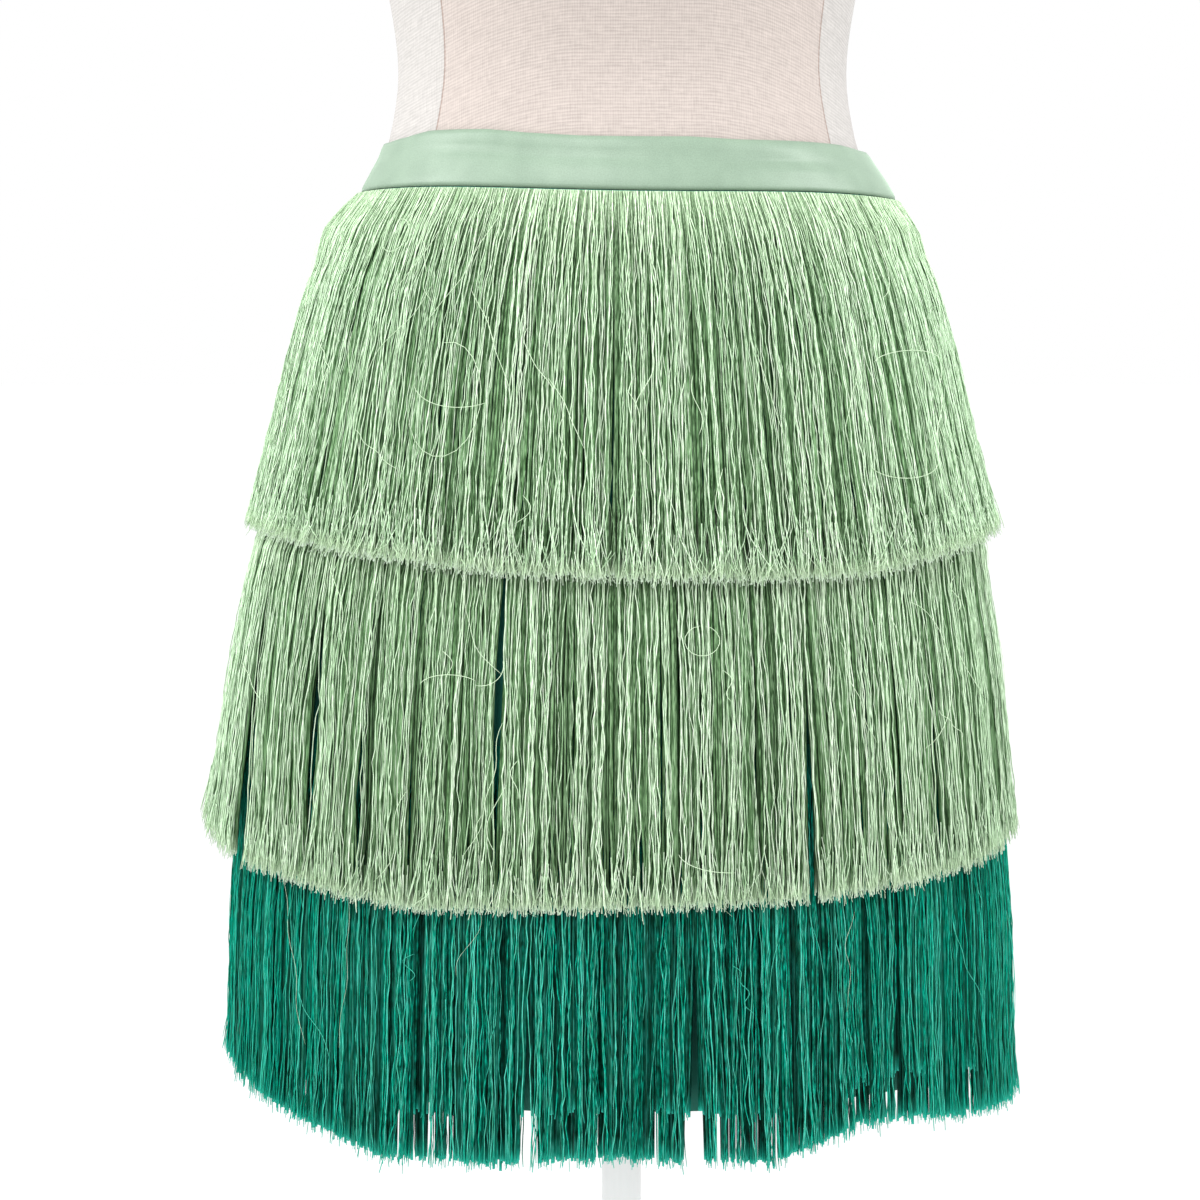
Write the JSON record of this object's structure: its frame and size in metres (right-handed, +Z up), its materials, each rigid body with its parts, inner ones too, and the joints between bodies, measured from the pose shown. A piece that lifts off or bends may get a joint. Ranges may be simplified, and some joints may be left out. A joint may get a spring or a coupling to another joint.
{
  "type": "fringed mini skirt on dress form",
  "caption": "Fringed mini skirt with a satin waistband, on a limbless dress form with a pole and round base.",
  "frame": {"origin": "on the floor, under the middle of the round base", "axes": "+Z up, the skirt's front faces -Y, +X to the right as seen from in front"},
  "size_m": [0.4501, 0.35, 1.4863],
  "materials": {
    "mint_satin": "smooth crepe-backed satin, soft sheen",
    "teal_cloth": "plain weave, matte",
    "fringe_mint": "loose rayon strands, silky",
    "fringe_green": "loose rayon strands, silky",
    "form_linen": "fine natural linen, matte",
    "pale_wood": "clear satin varnish",
    "white_enamel": "smooth white enamel",
    "zip_enamel": "enamel dyed to match the band"
  },
  "bodies": {
    "skirt_on_form": {"waistband": "mint_satin", "panel_front": "teal_cloth", "panel_back_left": "teal_cloth", "panel_back_right": "teal_cloth", "fringe_top": "fringe_mint", "fringe_middle": "fringe_mint", "fringe_bottom": "fringe_green", "zip_chain": "zip_enamel", "zip_slider": "zip_enamel", "form_torso": "form_linen", "form_neck_cap": "pale_wood", "form_pole": "white_enamel", "form_base": "white_enamel"},
    "pull": {"zip_pull": "zip_enamel"}
  },
  "joints": [
    {"name": "pull_swing", "type": "hinge", "parent": "skirt_on_form", "child": "pull", "pos_m": [0, 0.10307, 0.99925], "axis": [1, 0, 0], "range_deg": [0, 165]}
  ]
}
